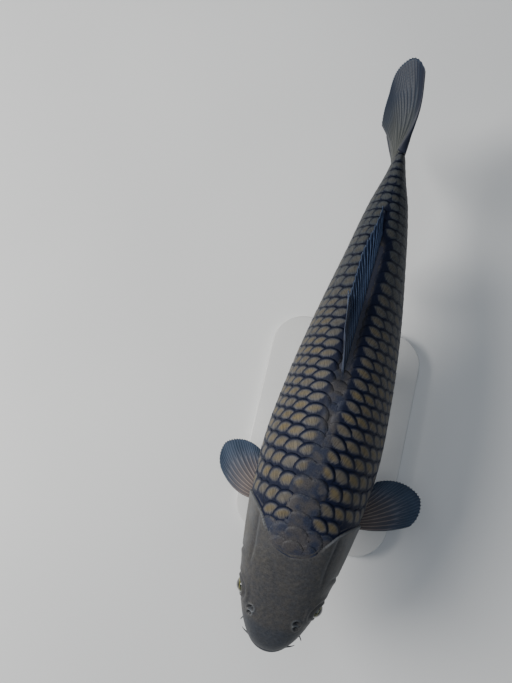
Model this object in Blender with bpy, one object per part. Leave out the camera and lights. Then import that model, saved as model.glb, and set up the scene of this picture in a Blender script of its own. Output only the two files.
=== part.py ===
"""Koi carp, life size, held over a flat base by two rods: closed solids, one for each part of the fish.

Metres, +Z up. The fish heads along -Y with its left side toward +X. The origin is on the floor, in the
middle of the base's underside. The body is one surface, lofted along a bent midline, and it is parted
where the fish has its parts; fins, eyes and barbels are set on it with a thin gap.
"""
import math

import bmesh
import bpy
from mathutils import Matrix, Vector

# ---- driving dimensions
BODY_LENGTH = 0.512          # snout tip to the end of the scaled tail root
SNOUT_Y = -0.226
AXIS_HEIGHT = 0.150          # the body's midline over the floor
GAP = 0.0003                 # between neighbouring solids

SECTION_SIDES = 32           # corners in each cross section of the body
SECTION_MIDDLE = 0.48        # the widest level, as a share of the way up from belly to back
SNOUT_START = 0.0004         # first ring of the body, in body lengths
STALK_BORDER = 0.84          # where the trunk ends and the tail stalk starts
TAIL_ROOT = 1.02             # where the tail fin takes over
HEAD_ROWS, TRUNK_ROWS, STALK_ROWS, ROOM_ROWS = 20, 24, 8, 66
HEAD_CROWDING = 1.7          # how much closer the rings stand toward the snout
ROOM_CROWDING = 1.3

# The body's form at its named stations, all in body lengths:
# place, half width, height of the back, depth of the belly.
BODY_STATIONS = (
    (0.000, 0.000, -0.014, -0.014),   # snout tip
    (0.012, 0.0315, 0.011, -0.036),   # lips
    (0.047, 0.0575, 0.034, -0.054),   # nostrils
    (0.110, 0.0805, 0.064, -0.077),   # eyes
    (0.190, 0.099, 0.096, -0.097),    # nape
    (0.280, 0.111, 0.121, -0.116),    # rear edge of the gill covers
    (0.400, 0.117, 0.142, -0.134),    # shoulder, the widest place
    (0.525, 0.108, 0.147, -0.137),    # start of the dorsal fin
    (0.650, 0.092, 0.127, -0.119),
    (0.800, 0.066, 0.088, -0.082),    # end of the dorsal fin
    (0.920, 0.043, 0.064, -0.060),    # tail stalk, the least depth
    (1.000, 0.020, 0.063, -0.061),
    (1.040, 0.011, 0.070, -0.068),    # root of the tail fin's rays
)
# How far the midline bends to the fish's left, in body lengths.
MIDLINE = ((0.00, -0.0290), (0.15, -0.0200), (0.30, -0.0100), (0.50, 0.0035), (0.70, 0.0160),
           (0.85, 0.0230), (1.00, 0.0265), (1.20, 0.0270))
# Squareness of the cross section's upper and lower half: 2 is an ellipse.
SQUARENESS = ((0.00, 2.2, 2.2), (0.10, 2.5, 2.3), (0.30, 2.15, 2.3), (0.60, 2.0, 2.1), (1.04, 2.0, 2.0))

# ---- the head's rear border: nape, gill cover and throat, in body lengths
NAPE_EDGE = 0.205
GILL_EDGE = 0.283
THROAT_EDGE = 0.215
EDGE_POWER = 1.6             # how narrow the gill covers' lobes are
BORDER = 0.6 * GAP / BODY_LENGTH

# ---- gill cover: an oval plate on each cheek
COVER_CENTRE = (0.243, -0.004)       # along the body in body lengths, height in metres
COVER_RADII = (0.038, 0.043)         # metres
COVER_INNER = 0.0078                 # depth of its flat inner face under the cheek
COVER_REACH = 0.06
COVER_CHORD = (0.06, 0.04)           # the cheek's slope is taken this far ahead and behind, body lengths

# ---- mouth
MOUTH_CORNER = (0.046, -0.017)       # along the body in body lengths, height in metres
JAW_BACK = 0.075
JAW_LENGTH = 0.11                    # length of the body that the jaw is cut from
JAW_ROWS = 12
WEDGE_FRONT = 0.010                  # the jaw's wedge starts this far ahead of the snout
WEDGE_CHIN, WEDGE_FOOT = -0.040, -0.060
WEDGE_HALF_WIDTH = 0.06

# ---- barbels: name, place, angle on the section, length, root radius, how far it points outward,
# and the pull of its free end: outward, back and down
BARBELS = (
    ("lip_barbel", 0.020, 0.10, 0.011, 0.0009, 0.65, (0.25, 0.30, -0.95)),
    ("corner_barbel", 0.044, -0.36, 0.017, 0.0013, 0.42, (0.10, -1.15, -1.10)),
)
BARBEL_TIP = 0.3                     # tip radius as a share of the root's
BARBEL_SUNK = 0.08

EYE_RADIUS = 0.0095
EYE_PLACE = (0.111, 0.0340, 0.0085)  # along the body, sideways and up from the midline in metres

FIN_EDGE = 0.0009                    # thickness at the rim
FIN_ROOT = 0.0040                    # thickness where a fin leaves the body
FIN_TAPER = 2.2

# ---- stand
BASE_LENGTH = 0.280
BASE_WIDTH = 0.190
BASE_THICKNESS = 0.012
BASE_CORNER = 0.040
BASE_CHAMFER = 0.0012
ROD_RADIUS = 0.005
ROD_PLACES = (("stand_rod_front", 0.300), ("stand_rod_rear", 0.600))
COLLAR_RADIUS = 0.0095
COLLAR_HEIGHT = 0.008
ROD_TOP = AXIS_HEIGHT - 0.03         # inside the body, which cuts the rod's top to its form


def clear_scene():
    for item in list(bpy.data.objects):
        bpy.data.objects.remove(item, do_unlink=True)


def clamp(value, low=0.0, high=1.0):
    return max(low, min(high, value))


def smooth(value):
    value = clamp(value)
    return value * value * (3 - 2 * value)


def mix(low, high, share):
    return low + (high - low) * share


def flow(table, place, column=1):
    """A smooth curve through one column of a table of stations, without overshoot."""
    places = [row[0] for row in table]
    values = [row[column] for row in table]
    count = len(table)
    steps = [(values[i + 1] - values[i]) / (places[i + 1] - places[i]) for i in range(count - 1)]
    slopes = [steps[0]]
    for before, after in zip(steps, steps[1:]):
        slopes.append(0.0 if before * after <= 0 else 2 * before * after / (before + after))
    slopes.append(steps[-1])
    place = clamp(place, places[0], places[-1])
    index = max(i for i in range(count - 1) if places[i] <= place)
    width = places[index + 1] - places[index]
    share = (place - places[index]) / width
    start, end = values[index], values[index + 1]
    return (start * (1 + 2 * share) * (1 - share) ** 2 + end * share * share * (3 - 2 * share)
            + slopes[index] * width * share * (1 - share) ** 2
            + slopes[index + 1] * width * share * share * (share - 1))


# The snout is round, so its stations are spaced by the square root of their place.
ROUNDED = tuple((math.sqrt(row[0]),) + row[1:] for row in BODY_STATIONS)


def midline(place):
    """The midline's point and its heading (unit vector toward the tail) at a place along the body."""
    point = Vector((flow(MIDLINE, place) * BODY_LENGTH, SNOUT_Y + place * BODY_LENGTH, AXIS_HEIGHT))
    reach = 0.02
    slope = (flow(MIDLINE, place + reach) - flow(MIDLINE, place - reach)) / (2 * reach)
    if place < reach:
        slope = (flow(MIDLINE, reach) - flow(MIDLINE, 0)) / reach
    return point, Vector((slope, 1, 0)).normalized()


def body_frame(place):
    """Point, heading, left and up on the midline."""
    point, heading = midline(place)
    up = Vector((0, 0, 1))
    return point, heading, heading.cross(up), up


def body_point(place, angle, grow=0.0):
    """A point on the skin: angle 0 is the fish's left flank, a quarter turn is the ridge of the back."""
    point, _, left, up = body_frame(place)
    rounded = math.sqrt(max(place, 0))
    half_width = flow(ROUNDED, rounded, 1) * BODY_LENGTH + grow
    back = flow(ROUNDED, rounded, 2) * BODY_LENGTH + grow
    belly = flow(ROUNDED, rounded, 3) * BODY_LENGTH - grow
    middle = mix(belly, back, SECTION_MIDDLE)
    rises = math.sin(angle) >= 0
    power = 2 / flow(SQUARENESS, place, 1 if rises else 2)
    reach = back - middle if rises else middle - belly
    across = math.copysign(abs(math.cos(angle)) ** power, math.cos(angle)) * half_width
    height = middle + math.copysign(abs(math.sin(angle)) ** power, math.sin(angle)) * reach
    return point + left * across + up * height


def body_offset(place, across, height):
    """A point given by its distances from the midline, to the left and up."""
    point, _, left, up = body_frame(place)
    return point + left * across + up * height


def head_edge(angle):
    """Where the head ends round the body: a lobe at each gill cover, forward at nape and throat."""
    end = NAPE_EDGE if math.sin(angle) > 0 else THROAT_EDGE
    return mix(GILL_EDGE, end, abs(math.sin(angle)) ** EDGE_POWER)


def head_end(angle):
    return head_edge(angle) - BORDER


def trunk_start(angle):
    return head_edge(angle) + BORDER


def add_material(item, name, colour, roughness, metallic=0.0):
    material = bpy.data.materials.new(name)
    material.use_nodes = True
    shader = material.node_tree.nodes["Principled BSDF"]
    shader.inputs["Base Color"].default_value = (*colour, 1)
    shader.inputs["Roughness"].default_value = roughness
    shader.inputs["Metallic"].default_value = metallic
    item.data.materials.append(material)


def add_object(name, mesh_builder, rounded=True):
    """Turn a finished bmesh into a named object, its faces pointing out."""
    if mesh_builder.calc_volume(signed=True) < 0:
        bmesh.ops.reverse_faces(mesh_builder, faces=mesh_builder.faces)
    mesh = bpy.data.meshes.new(name)
    mesh_builder.to_mesh(mesh)
    mesh_builder.free()
    if rounded:
        mesh.shade_smooth()
        mesh.set_sharp_from_angle(angle=math.radians(50))
    item = bpy.data.objects.new(name, mesh)
    bpy.context.scene.collection.objects.link(item)
    return item


def add_cutter(name, mesh_builder):
    item = add_object(name, mesh_builder, rounded=False)
    item.hide_render = True
    item.display_type = "WIRE"
    return item


def cut(item, cutter, operation="DIFFERENCE"):
    modifier = item.modifiers.new("cut_" + cutter.name, "BOOLEAN")
    modifier.operation = operation
    modifier.solver = "EXACT"
    modifier.object = cutter


def tube(rows, placed):
    """A closed tube of rings; placed(share, angle) puts its corners, angle None is an end's centre."""
    builder = bmesh.new()
    bmesh.ops.create_cone(builder, cap_ends=True, cap_tris=True, segments=SECTION_SIDES,
                          radius1=1, radius2=1, depth=1)
    lengthwise = [e for e in builder.edges if abs(e.verts[0].co.z - e.verts[1].co.z) > 0.5]
    bmesh.ops.subdivide_edges(builder, edges=lengthwise, cuts=rows - 1, use_grid_fill=True)
    for corner in builder.verts:
        share = corner.co.z + 0.5
        on_axis = math.hypot(corner.co.x, corner.co.y) < 0.5
        angle = None if on_axis else math.atan2(corner.co.y, corner.co.x)
        corner.co = placed(share, angle)
    return builder


def body_length(front, rear, rows, grow=0.0, crowding=1.0):
    """One length of the body between two borders, each given as a function of the angle."""
    def placed(share, angle):
        probe = 0.0 if angle is None else angle
        place = mix(front(probe), rear(probe), share ** crowding)
        if angle is not None:
            return body_point(place, angle, grow)
        rounded = math.sqrt(place)
        middle = mix(flow(ROUNDED, rounded, 3), flow(ROUNDED, rounded, 2), SECTION_MIDDLE)
        return body_offset(place, 0, middle * BODY_LENGTH)
    return tube(rows, placed)


def level(place):
    return lambda angle: place


def build_body():
    """Head, trunk and tail stalk, parted by gaps; and the same form a gap larger, for fitting fins."""
    snout = level(SNOUT_START)
    head = add_object("head", body_length(snout, head_end, HEAD_ROWS, crowding=HEAD_CROWDING))
    trunk = add_object("trunk", body_length(trunk_start, level(STALK_BORDER - BORDER), TRUNK_ROWS))
    stalk = body_length(level(STALK_BORDER + BORDER), level(TAIL_ROOT - BORDER), STALK_ROWS)
    tail_stalk = add_object("tail_stalk", stalk)
    add_material(head, "head_skin", (0.075, 0.078, 0.072), 0.45)
    add_material(trunk, "trunk_scales", (0.085, 0.085, 0.075), 0.40)
    add_material(tail_stalk, "tail_stalk_scales", (0.070, 0.075, 0.072), 0.40)
    form = body_length(snout, level(TAIL_ROOT), ROOM_ROWS, GAP, crowding=ROOM_CROWDING)
    return head, add_cutter("body_room", form)


def oval_prism(radius_along, radius_up, depth):
    """An oval bar along X."""
    builder = bmesh.new()
    bmesh.ops.create_cone(builder, cap_ends=True, segments=48, radius1=1, radius2=1, depth=1)
    bmesh.ops.rotate(builder, verts=builder.verts, matrix=Matrix.Rotation(math.pi / 2, 3, "Y"))
    bmesh.ops.scale(builder, verts=builder.verts, vec=(depth, radius_along, radius_up))
    return builder


def build_gill_covers(head):
    """Each cover is the outer slice of the cheek inside an oval, down to a flat inner face."""
    place, height = COVER_CENTRE
    for side, name in ((1, "left"), (-1, "right")):
        flank = 0 if side > 0 else math.pi
        along = body_point(place + COVER_CHORD[1], flank) - body_point(place - COVER_CHORD[0], flank)
        turn = math.atan2(-along.x, along.y)
        cheek = body_point(place, flank)
        solids = []
        for grow in (0.0, GAP):
            builder = oval_prism(COVER_RADII[0] + grow, COVER_RADII[1] + grow, COVER_REACH)
            shift = Vector((side * (COVER_REACH / 2 - COVER_INNER - grow), 0, 0))
            bmesh.ops.translate(builder, verts=builder.verts, vec=shift)
            bmesh.ops.rotate(builder, verts=builder.verts, matrix=Matrix.Rotation(turn, 3, "Z"))
            centre = Vector((cheek.x, cheek.y, AXIS_HEIGHT + height))
            bmesh.ops.translate(builder, verts=builder.verts, vec=centre)
            solids.append(builder)
        plate, pocket = solids
        cover = add_object("gill_cover_" + name, plate)
        form = body_length(level(SNOUT_START), head_end, HEAD_ROWS, crowding=HEAD_CROWDING)
        blank = add_cutter("cheek_blank_" + name, form)
        cut(cover, blank, "INTERSECT")
        add_material(cover, "gill_cover_skin_" + name, (0.090, 0.092, 0.090), 0.40)
        cut(head, add_cutter("cover_pocket_" + name, pocket))


def wedge(corner, back, grow):
    """A bar across the head whose upper face is the mouth line and whose rear face is the chin's end."""
    front_y = SNOUT_Y - WEDGE_FRONT
    corner_y = SNOUT_Y + corner[0] * BODY_LENGTH
    chin_y = SNOUT_Y + back * BODY_LENGTH + grow
    slope = (corner[1] - BODY_STATIONS[0][2] * BODY_LENGTH) / (corner_y - SNOUT_Y)
    rim = [(front_y, corner[1] + slope * (front_y - corner_y) + grow),
           (corner_y, corner[1] + grow),
           (chin_y, WEDGE_CHIN),
           (chin_y, WEDGE_FOOT),
           (front_y, WEDGE_FOOT)]
    builder = bmesh.new()
    face = builder.faces.new([builder.verts.new((-WEDGE_HALF_WIDTH, y, AXIS_HEIGHT + z)) for y, z in rim])
    swept = bmesh.ops.extrude_face_region(builder, geom=[face])
    moved = [v for v in swept["geom"] if isinstance(v, bmesh.types.BMVert)]
    bmesh.ops.translate(builder, verts=moved, vec=(2 * WEDGE_HALF_WIDTH, 0, 0))
    return builder


def build_jaw(head):
    form = body_length(level(SNOUT_START), level(JAW_LENGTH), JAW_ROWS, crowding=HEAD_CROWDING)
    jaw = add_object("lower_jaw", form)
    cut(jaw, add_cutter("jaw_wedge", wedge(MOUTH_CORNER, JAW_BACK, 0.0)), "INTERSECT")
    add_material(jaw, "jaw_skin", (0.110, 0.108, 0.098), 0.45)
    cut(head, add_cutter("jaw_room", wedge(MOUTH_CORNER, JAW_BACK, GAP)))


def build_eyes(head):
    for side, name in ((1, "left"), (-1, "right")):
        place, across, height = EYE_PLACE
        centre = body_offset(place, side * across, height)
        for label, radius in (("eye_", EYE_RADIUS), ("eye_socket_", EYE_RADIUS + GAP)):
            builder = bmesh.new()
            bmesh.ops.create_uvsphere(builder, u_segments=16, v_segments=10, radius=radius)
            turn = Matrix.Rotation(math.pi / 2, 3, "Y")
            bmesh.ops.rotate(builder, verts=builder.verts, matrix=turn)
            bmesh.ops.translate(builder, verts=builder.verts, vec=centre)
            if label == "eye_":
                eye = add_object(label + name, builder)
                add_material(eye, "eye_" + name, (0.02, 0.02, 0.02), 0.08)
            else:
                cut(head, add_cutter(label + name, builder))


def build_barbels(room):
    """Two short barbels on the upper lip and two longer ones at the mouth's corners."""
    for label, place, angle, length, radius, out, pull in BARBELS:
        for side, name in ((1, "left"), (-1, "right")):
            root = body_point(place, angle if side > 0 else math.pi - angle)
            outward = (root - body_offset(place, 0, 0)).normalized()
            drop = Vector((side * pull[0], *pull[1:]))
            first = outward.cross(drop).normalized()
            builder = bmesh.new()
            bmesh.ops.create_cone(builder, cap_ends=True, cap_tris=True, segments=8, radius1=radius,
                                  radius2=BARBEL_TIP * radius, depth=1)
            lengthwise = [e for e in builder.edges if abs(e.verts[0].co.z - e.verts[1].co.z) > 0.5]
            bmesh.ops.subdivide_edges(builder, edges=lengthwise, cuts=5, use_grid_fill=True)
            for corner in builder.verts:
                share = corner.co.z + 0.5
                path = (root + outward * (length * (out * share - BARBEL_SUNK))
                        + drop * (length * 0.5 * share ** 2))
                course = (outward * out + drop * share).normalized()
                second = course.cross(first)
                corner.co = path + first * corner.co.x + second * corner.co.y
            barbel = add_object(label + "_" + name, builder)
            cut(barbel, room)
            add_material(barbel, label + "_" + name, (0.050, 0.052, 0.055), 0.5)


def add_fin(name, rays, steps, surface, room, colour, root_thickness=FIN_ROOT):
    """A thin fin: surface(ray, share) gives its middle sheet, and it thins from root to rim."""
    builder = bmesh.new()
    bmesh.ops.create_grid(builder, x_segments=rays, y_segments=steps, size=0.5)
    weights = {}
    for index, corner in enumerate(builder.verts):
        ray, share = corner.co.x + 0.5, corner.co.y + 0.5
        weights[index] = max(FIN_EDGE / root_thickness, (1 - share) ** FIN_TAPER)
        corner.co = surface(ray, share)
    fin = add_object(name, builder)
    thick = fin.vertex_groups.new(name="thickness")
    for index, weight in weights.items():
        thick.add([index], weight, "REPLACE")
    shell = fin.modifiers.new("thickness", "SOLIDIFY")
    shell.thickness = root_thickness
    shell.offset = 0
    shell.vertex_group = "thickness"
    cut(fin, room)
    add_material(fin, name, colour, 0.42)


# ---- dorsal fin, laid back and leaning to the fish's right
DORSAL_FROM, DORSAL_TO = 0.527, 0.835
DORSAL_LENGTH = 0.037
DORSAL_LOBE = 0.038          # how much longer the front rays are
DORSAL_LOBE_RAY, DORSAL_LOBE_WIDTH = 0.06, 0.16
DORSAL_RISE = (21, 25, 13)   # degrees over the back: foremost ray, middle, and how much flatter the last is
DORSAL_LEAN = (27, 54, 24)   # degrees from upright, likewise
ROOT_SUNK = 0.002            # how deep the unpaired fins start inside the body


def dorsal_surface(ray, share):
    place = mix(DORSAL_FROM, DORSAL_TO, ray)
    root = body_point(place, math.pi / 2)
    ahead = body_point(place + 0.01, math.pi / 2)
    back = (ahead - root).normalized()
    _, _, left, up = body_frame(place)
    front_lobe = math.exp(-((ray - DORSAL_LOBE_RAY) / DORSAL_LOBE_WIDTH) ** 2)
    length = DORSAL_LENGTH + DORSAL_LOBE * front_lobe * smooth(0.25 + ray / 0.10)
    toward_middle, toward_last = smooth(ray / 0.4), smooth((ray - 0.6) / 0.4)
    rise = math.radians(mix(DORSAL_RISE[0], DORSAL_RISE[1], toward_middle) - DORSAL_RISE[2] * toward_last)
    lean = math.radians(mix(DORSAL_LEAN[0], DORSAL_LEAN[1], toward_middle) - DORSAL_LEAN[2] * toward_last)
    direction = back * math.cos(rise) + (up * math.cos(lean) - left * math.sin(lean)) * math.sin(rise)
    return root - up * ROOT_SUNK + direction * (length * share) - left * (0.002 * share * share)


# ---- tail fin: forked, its upper lobe leaning over to the left and its middle rays trailing right
TAIL_TIP = 1.209             # reach of the lobes and of the notch, in body lengths
TAIL_NOTCH = 1.112
TAIL_ROUNDING = 0.050        # how much shorter the outermost rays are
TAIL_HALF_ROOT = 0.0330
TAIL_HALF_SPAN = 0.0680
TAIL_TRAIL = 0.0262          # sideways sweep of the middle rays, and of the lowest
TAIL_TRAIL_LOW = 0.0215
TAIL_LEAN = 0.0320           # sideways reach of the upper lobe over them
TAIL_BULGE = 0.0070          # bow of the upper leading ray


def tail_surface(ray, share):
    outward = 2 * ray - 1
    side = abs(outward)
    reach = mix(TAIL_NOTCH, TAIL_TIP, side ** 0.95) - TAIL_ROUNDING * clamp((side - 0.78) / 0.22) ** 3
    point, _, _, up = body_frame(TAIL_ROOT)
    along = (reach - TAIL_ROOT) * BODY_LENGTH * share
    tip_height = math.copysign(TAIL_HALF_SPAN * side ** 0.72, outward)
    height = mix(TAIL_HALF_ROOT * outward, tip_height, share ** 0.9)
    upper = clamp((outward - 0.4) / 0.6)
    trail = mix(TAIL_TRAIL, TAIL_TRAIL_LOW, clamp(-outward))
    across = (TAIL_LEAN * upper ** 2.2 - trail) * share ** 1.15
    across += TAIL_BULGE * upper * math.sin(math.pi * share)
    return point + Vector((across, along, 0)) + up * height


# ---- paired fins: each ray leaves a short root line, fans out and bends back
# place and angle of the root, its width, and the length of the leading, longest and trailing ray
PECTORAL = (0.263, -0.66, 0.014, (0.071, 0.086, 0.045))
PELVIC = (0.500, -1.05, 0.012, (0.056, 0.062, 0.036))
# sweep of the leading and of the trailing ray, the bend of the leading one, and the droop, in degrees
PECTORAL_SWEEP = {"left": (-6, 60, 18, 12), "right": (-25, 64, 43, 28)}
PELVIC_SWEEP = (52, 88, 8, 24)
LONGEST_RAY = 0.35           # its share of the way from the leading ray to the trailing one
PAIRED_SUNK = 0.003


def fan_surface(side, fan, sweep):
    root_place, root_angle, root_width, lengths = fan
    first, longest, last = lengths
    lead, trail, bend, fall = (math.radians(value) for value in sweep)

    def surface(ray, share):
        place = root_place + root_width * ray / BODY_LENGTH
        root = body_point(place, root_angle if side > 0 else math.pi - root_angle)
        inward = (body_offset(place, 0, 0) - root).normalized() * PAIRED_SUNK
        turn = mix(lead, trail, ray) + bend * share * (1 - ray)
        direction = Vector((side * math.cos(turn) * math.cos(fall), math.sin(turn) * math.cos(fall),
                            -math.sin(fall)))
        if ray < LONGEST_RAY:
            size = mix(first, longest, 1 - (1 - ray / LONGEST_RAY) ** 2)
        else:
            size = mix(longest, last, ((ray - LONGEST_RAY) / (1 - LONGEST_RAY)) ** 1.4)
        return root + inward * (1 - share) + direction * (size * share)
    return surface


# ---- anal fin, hanging under the tail stalk
ANAL_FROM, ANAL_TO = 0.755, 0.825
ANAL_LENGTHS = (0.058, 0.026)
ANAL_FALL = (50, 30)         # degrees under the body's line


def anal_surface(ray, share):
    place = mix(ANAL_FROM, ANAL_TO, ray)
    root = body_point(place, -math.pi / 2)
    _, heading, left, up = body_frame(place)
    length = mix(*ANAL_LENGTHS, smooth(ray)) * (0.82 + 0.18 * smooth(ray / 0.2))
    fall = math.radians(mix(*ANAL_FALL, ray))
    direction = heading * math.cos(fall) - up * math.sin(fall)
    return root + up * ROOT_SUNK + direction * (length * share) - left * (0.003 * share * share)


def build_fins(room):
    dark = (0.030, 0.045, 0.085)
    add_fin("dorsal_fin", 18, 6, dorsal_surface, room, dark, 0.0026)
    add_fin("tail_fin", 19, 8, tail_surface, room, (0.090, 0.115, 0.140), 0.0100)
    add_fin("anal_fin", 8, 6, anal_surface, room, dark, 0.0030)
    for side, name in ((1, "left"), (-1, "right")):
        pectoral = fan_surface(side, PECTORAL, PECTORAL_SWEEP[name])
        add_fin("pectoral_fin_" + name, 12, 7, pectoral, room, (0.095, 0.080, 0.075))
        pelvic = fan_surface(side, PELVIC, PELVIC_SWEEP)
        add_fin("pelvic_fin_" + name, 9, 7, pelvic, room, dark, 0.0030)


def build_stand(room):
    builder = bmesh.new()
    bmesh.ops.create_cube(builder, size=1)
    bmesh.ops.scale(builder, verts=builder.verts, vec=(BASE_WIDTH, BASE_LENGTH, BASE_THICKNESS))
    bmesh.ops.translate(builder, verts=builder.verts, vec=(0, 0, BASE_THICKNESS / 2))
    upright = [e for e in builder.edges if abs(e.verts[0].co.z - e.verts[1].co.z) > BASE_THICKNESS / 2]
    bmesh.ops.bevel(builder, geom=upright, offset=BASE_CORNER, offset_type="OFFSET", segments=6,
                    profile=0.5, affect="EDGES", material=-1)
    rim = [e for e in builder.edges if min(v.co.z for v in e.verts) > BASE_THICKNESS * 0.9]
    bmesh.ops.bevel(builder, geom=rim, offset=BASE_CHAMFER, offset_type="OFFSET", segments=1,
                    profile=0.5, affect="EDGES", material=-1)
    base = add_object("stand_base", builder)
    add_material(base, "stand_base_lacquer", (0.62, 0.62, 0.60), 0.35)
    for name, place in ROD_PLACES:
        foot = midline(place)[0]
        bottom = BASE_THICKNESS + GAP
        collar_top = bottom + COLLAR_HEIGHT
        profile = ((0, bottom), (COLLAR_RADIUS, bottom), (COLLAR_RADIUS, collar_top),
                   (ROD_RADIUS, collar_top), (ROD_RADIUS, ROD_TOP), (0, ROD_TOP))
        rod = add_object(name, turned(profile, foot))
        cut(rod, room)
        add_material(rod, name + "_steel", (0.55, 0.55, 0.55), 0.30, 1.0)


def turned(profile, foot):
    """A profile of radius and height, turned about an upright axis through foot."""
    builder = bmesh.new()
    corners = [builder.verts.new((foot.x + radius, foot.y, height)) for radius, height in profile]
    edges = [builder.edges.new(pair) for pair in zip(corners, corners[1:])]
    bmesh.ops.spin(builder, geom=corners + edges, cent=(foot.x, foot.y, 0), axis=(0, 0, 1),
                   angle=2 * math.pi, steps=16, use_merge=True)
    bmesh.ops.remove_doubles(builder, verts=builder.verts, dist=0.00001)
    return builder


def build():
    clear_scene()
    head, room = build_body()
    build_gill_covers(head)
    build_jaw(head)
    build_eyes(head)
    build_barbels(room)
    build_fins(room)
    build_stand(room)


build()
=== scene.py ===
"""A life-size koi carp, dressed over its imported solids: skin, scales, fins, eyes and stand. Metres, +Z up."""
import math

import bmesh
import bpy
import numpy as np
from mathutils import Matrix, Vector


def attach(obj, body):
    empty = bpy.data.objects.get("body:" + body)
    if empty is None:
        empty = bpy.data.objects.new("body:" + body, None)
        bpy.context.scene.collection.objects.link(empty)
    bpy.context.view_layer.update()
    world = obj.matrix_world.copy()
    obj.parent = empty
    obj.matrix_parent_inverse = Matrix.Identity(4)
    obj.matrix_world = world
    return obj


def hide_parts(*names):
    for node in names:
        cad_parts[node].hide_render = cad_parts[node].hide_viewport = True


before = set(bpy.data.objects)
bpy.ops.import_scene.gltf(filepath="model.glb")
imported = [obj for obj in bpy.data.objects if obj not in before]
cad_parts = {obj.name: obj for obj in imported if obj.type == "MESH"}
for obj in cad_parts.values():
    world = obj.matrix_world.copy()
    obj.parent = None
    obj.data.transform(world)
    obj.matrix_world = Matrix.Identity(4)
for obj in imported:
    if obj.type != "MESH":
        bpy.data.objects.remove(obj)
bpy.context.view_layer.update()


# ==== the room
# A pale matt floor that runs past every view, with soft lamps overhead: a broad one on the fish's right,
# as by a window, and weaker ones that open the shadows. The camera looks down on the back.
FLOOR_SIZE = 8.0
FLOOR_PALE, FLOOR_SHADE = (0.72, 0.72, 0.71), (0.66, 0.66, 0.655)
ROOM_LIGHT, ROOM_STRENGTH = (0.74, 0.84, 1.0), 0.19
LAMPS = (   # name, place, aim, size, watts, colour
    ("window", (-1.5, -0.1, 1.5), (0, 0.05, 0.15), 1.2, 52, (1.0, 0.985, 0.95)),
    ("ceiling", (-0.2, 0.3, 2.0), (0, 0.05, 0.15), 1.4, 10, (0.93, 0.97, 1.0)),
    ("fill", (1.5, -0.6, 0.9), (0, 0.05, 0.15), 1.2, 1.5, (0.75, 0.86, 1.0)),
)
CAMERA_PLACE = (0.004, -0.015, 0.770)
CAMERA_TURNS = (("Y", 9.0), ("X", 8.0), ("Z", 13.5))     # degrees, from looking straight down
CAMERA_LENS = 31.1                   # millimetres


class Value:
    """A number or colour inside a material, so that shader maths reads as plain sums."""

    def __init__(self, finish, socket):
        self.finish, self.socket = finish, socket

    def maths(self, operation, other=0.0, reflected=False):
        terms = {0: other, 1: self} if reflected else {0: self, 1: other}
        return self.finish.node("ShaderNodeMath", {"operation": operation}, terms)

    def __add__(self, other):
        return self.maths("ADD", other)

    def __sub__(self, other):
        return self.maths("SUBTRACT", other)

    def __rsub__(self, other):
        return self.maths("SUBTRACT", other, reflected=True)

    def __mul__(self, other):
        return self.maths("MULTIPLY", other)

    def __pow__(self, other):
        return self.maths("POWER", other)

    def __abs__(self):
        return self.maths("ABSOLUTE")

    __radd__, __rmul__ = __add__, __mul__

    def fade(self, low, high):
        """0 below low, 1 above high, smooth between; low may be the greater one."""
        return self.finish.node("ShaderNodeMapRange", {"interpolation_type": "SMOOTHSTEP"},
                                {0: self, 1: low, 2: high})

    def mix(self, first, second):
        """The first colour where this number is 0, the second where it is 1."""
        return self.finish.node("ShaderNodeMix", {"data_type": "RGBA"}, {0: self, 6: first, 7: second}, 2)

    def tint(self, strength):
        """This colour times a number."""
        return self.finish.node("ShaderNodeVectorMath", {"operation": "SCALE"}, {0: self, 3: strength})


class Finish:
    """A material in the making: node() adds any node, and the other calls are the ones used most."""

    def __init__(self, name, **settings):
        self.material = bpy.data.materials.new(name)
        self.material.use_nodes = True
        self.nodes = self.material.node_tree.nodes
        self.shader = self.nodes["Principled BSDF"]
        for socket, value in settings.items():
            self.shader.inputs[socket.replace("_", " ").title().replace("Ior", "IOR")].default_value = value

    def node(self, kind, settings=None, inputs=None, output=0):
        """Any node, by its type, its settings and the values or links of its sockets; one output is read."""
        made = self.nodes.new(kind)
        for name, value in (settings or {}).items():
            setattr(made, name, value)
        for name, value in (inputs or {}).items():
            self.join(value, made.inputs[name])
        return Value(self, made.outputs[output])

    def join(self, value, socket):
        if isinstance(value, Value):
            self.material.node_tree.links.new(value.socket, socket)
        elif isinstance(value, tuple) and len(value) == 3 and socket.type == "RGBA":
            socket.default_value = (*value, 1)
        else:
            socket.default_value = value

    def layers(self, *names):
        """The numbers painted on the mesh with set_layers."""
        return [self.node("ShaderNodeAttribute", {"attribute_name": name}, output=2) for name in names]

    def chart(self, name):
        """The two numbers of a UV map."""
        spot = self.node("ShaderNodeUVMap", {"uv_map": name})
        parts = self.node("ShaderNodeSeparateXYZ", None, {0: spot})
        return parts, Value(self, parts.socket.node.outputs[1])

    def place(self):
        return self.node("ShaderNodeTexCoord", output=3)

    def noise(self, scale, detail=2.0, vector=None, rough=0.5):
        return self.node("ShaderNodeTexNoise", None, {"Vector": vector or self.place(), "Scale": scale,
                                                      "Detail": detail, "Roughness": rough})

    def stretched(self, across, along, third=0.0):
        return self.node("ShaderNodeCombineXYZ", None, {0: across, 1: along, 2: third})

    def surface(self, colour, roughness=None, height=None, depth=0.0002):
        self.join(colour, self.shader.inputs["Base Color"])
        if roughness is not None:
            self.join(roughness, self.shader.inputs["Roughness"])
        if height is not None:
            bump = self.node("ShaderNodeBump", None, {"Height": height, "Distance": depth})
            self.join(bump, self.shader.inputs["Normal"])
        return self.material


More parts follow.
